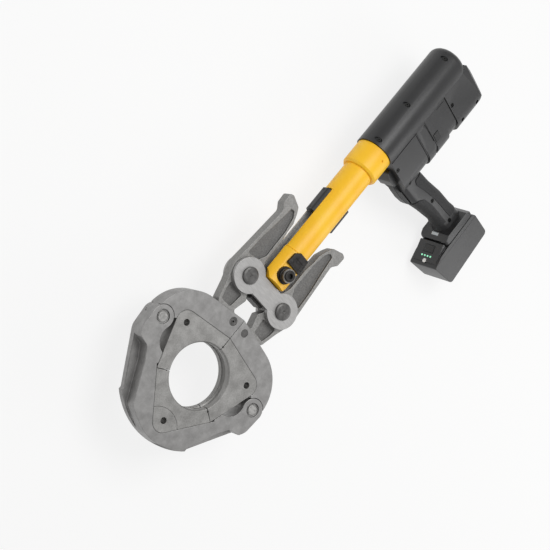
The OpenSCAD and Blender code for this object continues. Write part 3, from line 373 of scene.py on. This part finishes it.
# %% Powder coated steel
powder = start(
    "yellow_powder_coat", "#FEC41B", 0.42, 0.0, Coat_Weight=0.05, Coat_Roughness=0.25)
peel = add(powder.tree, "ShaderNodeTexNoise", {
    "Vector": powder.place, "Scale": every(2.5), "Detail": 1.0})
tone = add(powder.tree, "ShaderNodeTexNoise", {
    "Vector": powder.place, "Scale": every(40), "Detail": 2.0})
tone_share = add(powder.tree, "ShaderNodeMapRange", {"Value": tone.outputs["Fac"], **band})
add(powder.tree, "ShaderNodeMix", {
    SHARE: tone_share.outputs["Result"], DARK: linear("#FDBF17"), LIGHT: linear("#FFC922")},
    {COLOUR: powder.sockets["Base Color"]}, data_type="RGBA")
add(powder.tree, "ShaderNodeMapRange", {
    "Value": peel.outputs["Fac"], **band, "To Min": 0.38, "To Max": 0.48},
    {"Result": powder.sockets["Roughness"]})
add(powder.tree, "ShaderNodeBump", {
    "Height": peel.outputs["Fac"], "Distance": metres(0.05), "Strength": 0.35},
    {"Normal": powder.sockets["Normal"]})
finishes["yellow_paint"] = powder.material

# The light grey below is partly bare steel and partly painted light for the shaded slot.
tube = start("bare_tube_steel_painted_light", "#BAB9B7", 0.5, 0.3)
reamed = add(tube.tree, "ShaderNodeTexNoise", {
    "Vector": tube.place, "Scale": every(3), "Detail": 4.0})
reamed_share = add(tube.tree, "ShaderNodeMapRange", {
    "Value": reamed.outputs["Fac"], **band})
add(tube.tree, "ShaderNodeMix", {
    SHARE: reamed_share.outputs["Result"],
    DARK: linear("#AEADAB"), LIGHT: linear("#C6C5C3")},
    {COLOUR: tube.sockets["Base Color"]}, data_type="RGBA")
add(tube.tree, "ShaderNodeMapRange", {
    "Value": reamed.outputs["Fac"], **band, "To Min": 0.44, "To Max": 0.56},
    {"Result": tube.sockets["Roughness"]})
print(powder.material.name, tube.material.name)

# %% [markdown]
# ## Housing plastic
# The drive's shell is nylon filled with glass fibre, moulded in a spark eroded tool. The
# tool's pits leave a fine matt grain. The real one is about 0.2 mm, and here it is 1.5 mm,
# which is what still shows at this distance.

# %% Glass filled nylon, moulded
nylon = start("moulded_glass_filled_nylon", "#242425", 0.38, 0.0, IOR=1.53)
spark = add(nylon.tree, "ShaderNodeTexNoise", {
    "Vector": nylon.place, "Scale": every(1.5), "Detail": 4.0, "Roughness": 0.6})
flow = add(nylon.tree, "ShaderNodeTexNoise", {
    "Vector": nylon.place, "Scale": every(55), "Detail": 2.0})
flow_share = add(nylon.tree, "ShaderNodeMapRange", {"Value": flow.outputs["Fac"], **band})
add(nylon.tree, "ShaderNodeMix", {
    SHARE: flow_share.outputs["Result"], DARK: linear("#212122"), LIGHT: linear("#282829")},
    {COLOUR: nylon.sockets["Base Color"]}, data_type="RGBA")
add(nylon.tree, "ShaderNodeMapRange", {
    "Value": spark.outputs["Fac"], **band, "To Min": 0.3, "To Max": 0.42},
    {"Result": nylon.sockets["Roughness"]})
add(nylon.tree, "ShaderNodeBump", {
    "Height": spark.outputs["Fac"], "Distance": metres(0.08), "Strength": 0.5},
    {"Normal": nylon.sockets["Normal"]})
finishes["housing_plastic"] = nylon.material
print(nylon.material.name)

# %% [markdown]
# ## Grip rubber and black acetal
# A soft elastomer is moulded over the handle. It is matt, with a faint sheen at the edge
# of view and rounded pebbles of 2.2 mm, which a smooth cell pattern gives. The slot's
# guards, the trigger and the buttons are acetal, which is dense and waxy.

# %% Elastomer and acetal
rubber = start(
    "overmoulded_elastomer", "#1F1F20", 0.72, 0.0, Sheen_Weight=0.08, Sheen_Roughness=0.5)
pebble = add(rubber.tree, "ShaderNodeTexVoronoi", {
    "Vector": rubber.place, "Scale": every(2.2)}, feature="SMOOTH_F1")
add(rubber.tree, "ShaderNodeMapRange", {
    "Value": pebble.outputs["Distance"], **band, "To Min": 0.64, "To Max": 0.8},
    {"Result": rubber.sockets["Roughness"]})
add(rubber.tree, "ShaderNodeBump", {
    "Height": pebble.outputs["Distance"], "Distance": metres(0.15), "Strength": 0.6},
    {"Normal": rubber.sockets["Normal"]})
finishes["soft_grip"] = rubber.material

acetal = start("moulded_black_acetal", "#1D1D1E", 0.42, 0.0, IOR=1.48)
wax = add(acetal.tree, "ShaderNodeTexNoise", {
    "Vector": acetal.place, "Scale": every(3), "Detail": 3.0})
wax_share = add(acetal.tree, "ShaderNodeMapRange", {"Value": wax.outputs["Fac"], **band})
add(acetal.tree, "ShaderNodeMix", {
    SHARE: wax_share.outputs["Result"], DARK: linear("#191919"), LIGHT: linear("#232324")},
    {COLOUR: acetal.sockets["Base Color"]}, data_type="RGBA")
add(acetal.tree, "ShaderNodeMapRange", {
    "Value": wax.outputs["Fac"], **band, "To Min": 0.36, "To Max": 0.5},
    {"Result": acetal.sockets["Roughness"]})
finishes["black_plastic"] = acetal.material
print(rubber.material.name, acetal.material.name)

# %% [markdown]
# ## Inside the drive
# Nobody sees the inside until the tool is opened, but it is the same kind of work. Cast
# aluminium has a grainy skin of 3 mm. The motor is a stack of steel sheets, drawn by a
# wave: a wave texture repeats after a twentieth of a full turn, which `wave_length` holds.
# Real sheets are 0.5 mm thick, and here they are 4 mm, so that they can be told apart.

# %% Cast aluminium and motor laminations
cast = start("die_cast_aluminium", "#A9ABAD", 0.45, 0.9)
skin = add(cast.tree, "ShaderNodeTexNoise", {
    "Vector": cast.place, "Scale": every(3), "Detail": 5.0})
skin_share = add(cast.tree, "ShaderNodeMapRange", {"Value": skin.outputs["Fac"], **band})
add(cast.tree, "ShaderNodeMix", {
    SHARE: skin_share.outputs["Result"], DARK: linear("#999B9D"), LIGHT: linear("#B8BABC")},
    {COLOUR: cast.sockets["Base Color"]}, data_type="RGBA")
add(cast.tree, "ShaderNodeBump", {
    "Height": skin.outputs["Fac"], "Distance": metres(0.1), "Strength": 0.5},
    {"Normal": cast.sockets["Normal"]})
finishes["cast_aluminium"] = cast.material

wave_length = math.tau / 20
sheet_mm = 3.95
stacked = start("laminated_motor_steel", "#5A5D61", 0.42, 0.8)
sheets = add(stacked.tree, "ShaderNodeTexWave", {
    "Vector": stacked.place, "Scale": every(sheet_mm) * wave_length, "Distortion": 0.0},
    bands_direction="X")
sheets_share = add(stacked.tree, "ShaderNodeMapRange", {
    "Value": sheets.outputs["Fac"], **band})
add(stacked.tree, "ShaderNodeMix", {
    SHARE: sheets_share.outputs["Result"],
    DARK: linear("#484B4F"), LIGHT: linear("#6B6E72")},
    {COLOUR: stacked.sockets["Base Color"]}, data_type="RGBA")
finishes["motor_steel"] = stacked.material
print(cast.material.name, stacked.material.name)

# %% [markdown]
# ## Board, contacts and cells
# The control board is glass fibre under a green mask, and bricks of 3 by 1.5 mm stand for
# its tracks: the brick texture's own bricks are half a unit long, so a scale of one unit
# in 6 mm gives that. The contacts are stamped from brass, and the battery's cells are
# shrunk into plastic sleeves. They lie deep inside, so one pattern each is enough.

# %% Circuit board, brass and cell sleeves
masked = start("green_solder_mask", "#1F5B3A", 0.35)
add(masked.tree, "ShaderNodeTexBrick", {
    "Vector": masked.place, "Scale": every(6), "Mortar Size": 0.06,
    "Color1": linear("#1C5335"), "Color2": linear("#236643"), "Mortar": linear("#3B8A5C")},
    {"Color": masked.sockets["Base Color"]})
finishes["board"] = masked.material

brass = start("stamped_brass", "#C9A24B", 0.3, 1.0)
stain = add(brass.tree, "ShaderNodeTexNoise", {
    "Vector": brass.place, "Scale": every(3), "Detail": 3.0})
stain_share = add(brass.tree, "ShaderNodeMapRange", {"Value": stain.outputs["Fac"], **band})
add(brass.tree, "ShaderNodeMix", {
    SHARE: stain_share.outputs["Result"],
    DARK: linear("#B8903C"), LIGHT: linear("#D6B25E")},
    {COLOUR: brass.sockets["Base Color"]}, data_type="RGBA")
finishes["contact_brass"] = brass.material

sleeve = start("shrunk_pvc_sleeve", "#3D6F9E", 0.3)
wrap = add(sleeve.tree, "ShaderNodeTexNoise", {
    "Vector": sleeve.place, "Scale": every(9), "Detail": 2.0})
wrap_share = add(sleeve.tree, "ShaderNodeMapRange", {"Value": wrap.outputs["Fac"], **band})
add(sleeve.tree, "ShaderNodeMix", {
    SHARE: wrap_share.outputs["Result"], DARK: linear("#386792"), LIGHT: linear("#4379AA")},
    {COLOUR: sleeve.sockets["Base Color"]}, data_type="RGBA")
finishes["cell_wrap"] = sleeve.material
print(masked.material.name, brass.material.name, sleeve.material.name)

# %% [markdown]
# ## Lit windows
# The charge lamps sit behind small windows of tinted polycarbonate and are lit, so they
# give off a little light of their own, which is simpler than a lamp behind each window.
# The work light's lens is clear, with ribs 4 mm apart, and the button beside the windows
# is white.

# %% Lit windows, clear lens and white button
lit = start("lit_green_window", "#8FE0B8", 0.3, 0.0, Emission_Strength=0.6)
lit.sockets["Emission Color"].default_value = linear("#8FE0B8")
frost = add(lit.tree, "ShaderNodeTexNoise", {
    "Vector": lit.place, "Scale": every(1.5), "Detail": 2.0})
frost_share = add(lit.tree, "ShaderNodeMapRange", {"Value": frost.outputs["Fac"], **band})
add(lit.tree, "ShaderNodeMix", {
    SHARE: frost_share.outputs["Result"],
    DARK: linear("#86D8AF"), LIGHT: linear("#9AE8C2")},
    {COLOUR: lit.sockets["Base Color"]}, data_type="RGBA")
finishes["lamp_green"] = lit.material

rib_mm = 3.95
lens = start(
    "clear_polycarbonate_lens", "#DDE4E8", 0.12, 0.0, Transmission_Weight=0.3, IOR=1.58)
ribs = add(lens.tree, "ShaderNodeTexWave", {
    "Vector": lens.place, "Scale": every(rib_mm) * wave_length}, bands_direction="Z")
add(lens.tree, "ShaderNodeBump", {
    "Height": ribs.outputs["Fac"], "Distance": metres(0.1), "Strength": 0.6},
    {"Normal": lens.sockets["Normal"]})
finishes["light_lens"] = lens.material

white = start("white_polycarbonate", "#E6E6E4", 0.35)
haze = add(white.tree, "ShaderNodeTexNoise", {
    "Vector": white.place, "Scale": every(4), "Detail": 2.0})
haze_share = add(white.tree, "ShaderNodeMapRange", {"Value": haze.outputs["Fac"], **band})
add(white.tree, "ShaderNodeMix", {
    SHARE: haze_share.outputs["Result"], DARK: linear("#DEDEDC"), LIGHT: linear("#ECECEA")},
    {COLOUR: white.sockets["Base Color"]}, data_type="RGBA")
finishes["white_plastic"] = white.material
print(lit.material.name, lens.material.name, white.material.name)

# %% [markdown]
# ## Finishes on the solids
# The record gives each solid a material slot, so the finishes go on by slot and every
# solid gets one in a single loop. A few small pieces share a slot with others but were
# treated in another way, so they are named.

# %% Give each solid its finish
slot_of = {part["node"]: part["material_slot"] for part in frame["record"]["subparts"]}
own_finish = {
    "cross_pin_upper": tempered.material, "cross_pin_lower": tempered.material,
    "jaw_pin_left": tempered.material, "jaw_pin_right": tempered.material,
    "lock_ring": drawn.material, "housing_screws": phosphate_and_sink_shade.material,
}
for name, solid in frame["nodes"].items():
    solid.data.materials.clear()
    solid.data.materials.append(own_finish.get(name, finishes[slot_of[name]]))
print("slots used:", len(set(slot_of.values())))

# %% [markdown]
# ## Rounded edges
# No real edge is perfectly sharp: a milled edge is broken with a file, and a moulded one
# has the tool's radius. That thin round catches the light and tells the eye what the thing
# is made of. It could be drawn in the shader, but then it would be lost in the mesh. So a
# copy of each visible solid is cleaned of its flat triangles, gets a bevel of real width,
# and takes the solid's place. The two shells have thin walls and many small faces, so they
# keep their triangles, and their bevels stop before they meet.

# %% A copy with rounded edges
edge_angle = math.radians(32)
flat_angle = math.radians(0.6)
same_point_mm = 0.002


def round_edges(node, width_mm, careful=False):
    """Bevels a copy. A careful one keeps its triangles and never lets two bevels meet."""
    solid = frame["nodes"][node]
    piece = bpy.data.objects.new(node + "_rounded", solid.data.copy())
    bpy.context.scene.collection.objects.link(piece)
    if "custom_normal" in piece.data.attributes:
        piece.data.attributes.remove(piece.data.attributes["custom_normal"])
    work = bmesh.new()
    work.from_mesh(piece.data)
    bmesh.ops.remove_doubles(work, verts=work.verts, dist=metres(same_point_mm))
    if not careful:
        bmesh.ops.dissolve_limit(
            work, angle_limit=flat_angle, verts=work.verts, edges=work.edges)
    bmesh.ops.recalc_face_normals(work, faces=work.faces)
    work.to_mesh(piece.data)
    work.free()
    piece.data.shade_smooth()
    piece.data.set_sharp_from_angle(angle=edge_angle)
    bevel = piece.modifiers.new("broken edge", "BEVEL")
    bevel.width = metres(width_mm)
    bevel.segments = 2
    bevel.limit_method = "ANGLE"
    bevel.angle_limit = edge_angle
    bevel.use_clamp_overlap = careful
    bevel.harden_normals = True
    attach(piece, solid["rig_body"])
    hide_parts(node)
    return piece


print("edges steeper than", round(math.degrees(edge_angle)), "degrees get a bevel")

# %% Round each piece by its own width
edge_mm = {
    "ring_link": 0.8, "segment_upper": 0.8, "segment_lower": 0.8, "link_saddle": 0.4,
    "shoe_link": 0.5, "shoe_upper": 0.5, "shoe_lower": 0.5, "hinge_pin_upper": 0.5,
    "hinge_pin_lower": 0.5, "cross_pin_upper": 0.4, "cross_pin_lower": 0.4,
    "jaw_left": 1.2, "jaw_right": 1.2, "cover_plate_front": 0.6, "cover_plate_rear": 0.6,
    "tong_lug": 0.6, "jaw_pin_left": 0.4, "jaw_pin_right": 0.4, "press_head": 0.6,
    "swivel_collar": 0.5, "slot_guard_left": 0.6, "slot_guard_right": 0.6,
    "head_latch": 0.8, "grip_cover": 0.3, "trigger": 1.2, "reset_button": 0.6,
    "battery_case": 0.8, "battery_top": 0.6, "battery_latch": 0.5,
}
shell_edge_mm = 0.4
rounded = {node: round_edges(node, width) for node, width in edge_mm.items()}
for node in ("housing_left", "housing_right"):
    rounded[node] = round_edges(node, shell_edge_mm, careful=True)
print("pieces with rounded edges:", len(rounded))

# %% [markdown]
# ## Two materials on one piece
# A machined or masked face differs from its neighbours on the same part. The jaws' pockets get
# a darker grey, which is painted shade in the hollows, and the head's slot and bore are bare
# steel inside the paint, drawn lighter as painted light in the deep slot. The faces are chosen
# by where they lie, which needs no picture and no seams.

# %% Paint by face
jaw_pocket_mm = (3, 9)
slot_half_mm = 11
bore_radius_mm = 21.3
facing_up = 0.9


def face_finish(piece, material, chosen):
    piece.data.materials.append(material)
    last = len(piece.data.materials) - 1
    count = 0
    for face in piece.data.polygons:
        if chosen(face.center * 1000, face.normal):
            face.material_index = last
            count += 1
    return count


# Faces on the pocket floors, which take the painted shade.
def in_shaded_pocket(centre_mm, normal):
    return abs(normal.z) > facing_up and jaw_pocket_mm[0] < abs(centre_mm.z) < jaw_pocket_mm[1]


# Walls of the slot and the bore, which take the lightened bare steel.
def in_slot(centre_mm, normal):
    flat_wall = abs(normal.z) > facing_up and abs(centre_mm.z) < slot_half_mm
    return flat_wall or math.hypot(centre_mm.y, centre_mm.z) < bore_radius_mm


for side in ("jaw_left", "jaw_right"):
    print(side, "pocket faces:", face_finish(rounded[side], pocket_painted_shade.material, in_shaded_pocket))
print("bare faces of the head:", face_finish(rounded["press_head"], tube.material, in_slot))

# %% [markdown]
# ## Pads beside the reset button
# The left shell carries three thin steps round the reset button, and two thin black strips lie
# where it has short slot openings: their black is painted shade of the openings. They are at
# most 0.9 mm high, too thin to matter in the solids, so they are laid on here: boxes with a
# small bevel, turned with the drive, which is rolled 12 degrees about its axis.

# %% A box on the drive's left side
drive_roll = Matrix.Rotation(math.radians(12), 4, "X")
side_mm = 30.0
sunk_mm = -0.4


def side_box(name, x_mm, depth_mm, high_mm, edge_mm, material):
    """A box from `sunk_mm` under the shell's side to `high_mm` above it."""
    work = bmesh.new()
    bmesh.ops.create_cube(work, size=1.0)
    size = Vector((x_mm[1] - x_mm[0], depth_mm[1] - depth_mm[0], high_mm - sunk_mm))
    centre = Vector((sum(x_mm) / 2, -sum(depth_mm) / 2, side_mm + (sunk_mm + high_mm) / 2))
    stretch = Matrix.Diagonal((*(size / 1000), 1))
    place = drive_roll @ Matrix.Translation(centre / 1000) @ stretch
    bmesh.ops.transform(work, matrix=place, verts=work.verts)
    mesh = bpy.data.meshes.new(name)
    work.to_mesh(mesh)
    work.free()
    mesh.materials.append(material)
    box = bpy.data.objects.new(name, mesh)
    bpy.context.scene.collection.objects.link(box)
    bevel = box.modifiers.new("moulded radius", "BEVEL")
    bevel.width = metres(edge_mm)
    bevel.segments = 2
    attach(box, frame["nodes"]["housing_left"]["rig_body"])


print("the side lies", side_mm, "mm from the drive's middle")

# %% Three pads and two strips of painted slot shade
pads = {
    "pad_front": ((594.5, 608.5), (27, 50), 0.8),
    "pad_middle": ((613.5, 629.5), (24, 38), 0.9),
    "pad_rear": ((629.5, 671), (24, 44), 0.6),
}
# Two thin black strips, painted shade standing in for the shell's slot openings.
slot_shade_strips = {
    "slot_front": ((588, 590.5), (30, 44), 0.15),
    "slot_rear": ((632, 634), (50, 62), 0.15),
}
for name, (x_mm, depth_mm, high_mm) in pads.items():
    side_box(name, x_mm, depth_mm, high_mm, 0.35, nylon.material)
for name, (x_mm, depth_mm, high_mm) in slot_shade_strips.items():
    side_box(name, x_mm, depth_mm, high_mm, 0.05, acetal.material)
print("pads:", len(pads), "slots:", len(slot_shade_strips))

# %% [markdown]
# ## Who looks at the background
# A white background must not light the tool more than the lamps do. Light Path tells a
# shader what kind of ray has met it, so floor and room can show one thing to the camera,
# to reflections and to clear pieces, and give another to the light that falls on the tool.

# %% Rays that look
def looking(tree):
    """Gives 1 for camera, glossy and transmission rays and 0 for the rest."""
    ray = add(tree, "ShaderNodeLightPath").outputs
    camera_or_glossy = add(tree, "ShaderNodeMath", {
        0: ray["Is Camera Ray"], 1: ray["Is Glossy Ray"]}, operation="ADD")
    total = add(tree, "ShaderNodeMath", {
        0: camera_or_glossy.outputs["Value"], 1: ray["Is Transmission Ray"]},
        operation="ADD", use_clamp=True)
    return total.outputs["Value"], ray["Is Camera Ray"]


print("floor and room can now tell who looks at them")

# %% [markdown]
# ## Floor
# A sheet of matt white paper, far larger than the picture, as on a photographer's table.
# It takes the tool's shadow as real paper does, and four fifths of what is seen of it is
# plain white, so the shadow stays faint. The sheet is not quite flat: 125 waves go across
# it, each only 0.05 mm high.

# %% Paper under the tool
half_floor = 6.0
floor_gap_mm = 0.5
whitened = 0.8
waves_across = 125
wave_height_mm = 0.05
floor_z = cad_box[0].z - metres(floor_gap_mm)
floor_mesh = bpy.data.meshes.new("floor")
floor_mesh.from_pydata(
    [(-half_floor, -half_floor, floor_z), (half_floor, -half_floor, floor_z),
     (half_floor, half_floor, floor_z), (-half_floor, half_floor, floor_z)],
    [], [(0, 1, 2, 3)])
floor = bpy.data.objects.new("floor", floor_mesh)
bpy.context.scene.collection.objects.link(floor)

paper = bpy.data.materials.new("matt_white_paper")
paper.use_nodes = True
sheet = paper.node_tree
sheet.nodes.clear()
seen, _ = looking(sheet)
lifted = add(sheet, "ShaderNodeMath", {0: seen, 1: whitened}, operation="MULTIPLY")
waves = add(sheet, "ShaderNodeTexNoise", {"Scale": waves_across, "Detail": 2.0})
matt = add(sheet, "ShaderNodeBsdfDiffuse", {"Color": linear("#F4F4F3")})
add(sheet, "ShaderNodeBump", {
    "Height": waves.outputs["Fac"], "Distance": metres(wave_height_mm)},
    {"Normal": matt.inputs["Normal"]})
glow = add(sheet, "ShaderNodeEmission", {"Color": linear("#FFFFFF"), "Strength": 1.0})
blend = add(sheet, "ShaderNodeMixShader", {
    "Fac": lifted.outputs["Value"], 1: matt.outputs["BSDF"], 2: glow.outputs["Emission"]})
add(sheet, "ShaderNodeOutputMaterial", {"Surface": blend.outputs["Shader"]})
floor_mesh.materials.append(paper)
print("floor at", round(floor_z, 4), "m")

# %% [markdown]
# ## Room
# The room gives the tool a weak, even light from all sides. The camera sees it as a nearly
# white wall behind the floor's edge, and reflections see it a third darker, which keeps the
# steel from turning as white as the paper.

# %% Walls of the room
room_on_tool = 0.4
room_in_reflections = 0.67
more_for_camera = 0.3
world = bpy.data.worlds.new("studio")
bpy.context.scene.world = world
world.use_nodes = True
room = world.node_tree
room.nodes.clear()
seen, by_camera = looking(room)
strength = add(room, "ShaderNodeMath", {
    0: by_camera, 1: more_for_camera, 2: room_in_reflections}, operation="MULTIPLY_ADD")
pale = add(room, "ShaderNodeBackground", {
    "Color": linear("#FFFFFF"), "Strength": strength.outputs["Value"]})
dim = add(room, "ShaderNodeBackground", {
    "Color": linear("#FFFFFF"), "Strength": room_on_tool})
wall = add(room, "ShaderNodeMixShader", {
    "Fac": seen, 1: dim.outputs["Background"], 2: pale.outputs["Background"]})
add(room, "ShaderNodeOutputWorld", {"Surface": wall.outputs["Shader"]})
print("light of the room on the tool:", room_on_tool)

# %% [markdown]
# ## Camera
# The camera looks down on the tool from the ring's side, through a long lens, so the tool
# lies slanted across the picture. Its three directions, its place and its lens were solved
# from the outlines of the ring, the pins and the drive. They could be set by hand and eye,
# but then the lengths of the pieces would not agree with the picture.

# %% Place and lens
right = Vector((0.6011, -0.5837, 0.5459))
up = Vector((0.7400, 0.6645, -0.1043))
back = Vector((-0.3019, 0.4667, 0.8313))
stand = Vector((-0.494, 1.1056, 1.9698))
camera = bpy.data.objects.new("camera", bpy.data.cameras.new("camera"))
bpy.context.scene.collection.objects.link(camera)
camera.matrix_world = Matrix((
    (right.x, up.x, back.x, stand.x),
    (right.y, up.y, back.y, stand.y),
    (right.z, up.z, back.z, stand.z),
    (0, 0, 0, 1),
))
camera.data.lens = 91.64
camera.data.sensor_width = 36
bpy.context.scene.camera = camera
middle = (cad_box[0] + cad_box[1]) / 2
print("camera to the middle of the tool:", round((stand - middle).length, 2), "m")

# %% [markdown]
# ## Lamps
# Three large square soft boxes stand round the tool. The key light comes from the upper
# right and models the tube and the shell, a weaker one from the lower right opens the
# side faces, and the fill from the left lightens the shadows in the head's slot. They are
# placed by the camera's own directions, which makes them easy to think about: so far to
# the right, so far up, so far toward the camera.

# %% Three soft boxes
def soft_box(name, across, upward, toward, size, power):
    """Distances and size are in metres, counted from the tool's middle. Power is in watts."""
    lamp = bpy.data.lights.new(name, "AREA")
    lamp.size = size
    lamp.energy = power
    holder = bpy.data.objects.new(name, lamp)
    bpy.context.scene.collection.objects.link(holder)
    holder.location = middle + right * across + up * upward + back * toward
    holder.rotation_mode = "QUATERNION"
    holder.rotation_quaternion = (middle - holder.location).to_track_quat("-Z", "Y")


soft_box("key", across=1.15, upward=0.55, toward=1.6, size=1.2, power=21)
soft_box("side", across=1.67, upward=-0.75, toward=-0.15, size=1.1, power=8)
soft_box("fill", across=-1.5, upward=0.8, toward=0.75, size=1.2, power=9)

# %% [markdown]
# ## Last settings
# The dressed tool must be as large as the solids. The colours are shown plainly: a film look
# would bend the hex values away from their finish.

# %% Colour view
bpy.context.scene.view_settings.view_transform = "Standard"
